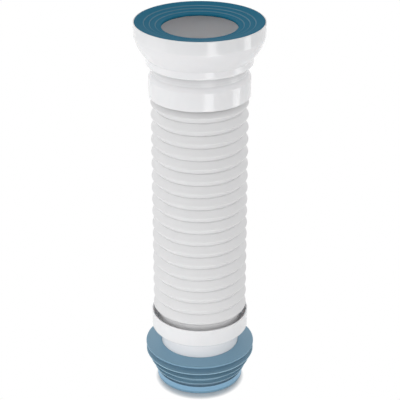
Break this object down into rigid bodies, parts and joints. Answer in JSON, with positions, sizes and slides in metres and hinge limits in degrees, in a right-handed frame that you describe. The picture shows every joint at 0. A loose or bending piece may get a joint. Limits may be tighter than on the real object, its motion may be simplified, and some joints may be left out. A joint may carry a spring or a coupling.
{
  "type": "toilet pan connector",
  "caption": "Flexible toilet pan connector: a corrugated tube between a flared socket with a rubber pan seal and a plain spigot with a finned rubber drain seal.",
  "frame": {"origin": "centre of the drain seal's foot ring, on the surface that the connector stands on", "axes": "+Z along the tube's axis, from the drain end up to the pan end"},
  "size_m": [0.137, 0.137, 0.4238],
  "materials": {
    "rigid_white": "smooth moulded white plastic with a soft gloss",
    "bellows_white": "satin blow-moulded white plastic",
    "pan_seal_rubber": "dark teal-blue moulded rubber",
    "drain_seal_rubber": "greyish-blue moulded rubber"
  },
  "bodies": {
    "drain_end": {"drain_spigot": "rigid_white", "drain_seal": "drain_seal_rubber", "bellows_tube": "bellows_white"},
    "pan_end": {"pan_socket": "rigid_white", "pan_seal": "pan_seal_rubber"}
  },
  "joints": [
    {"name": "bellows_stretch", "type": "slide", "parent": "drain_end", "child": "pan_end", "axis": [0, 0, 1], "range_m": [-0.08, 0.04], "deforming": ["bellows_tube"]}
  ]
}
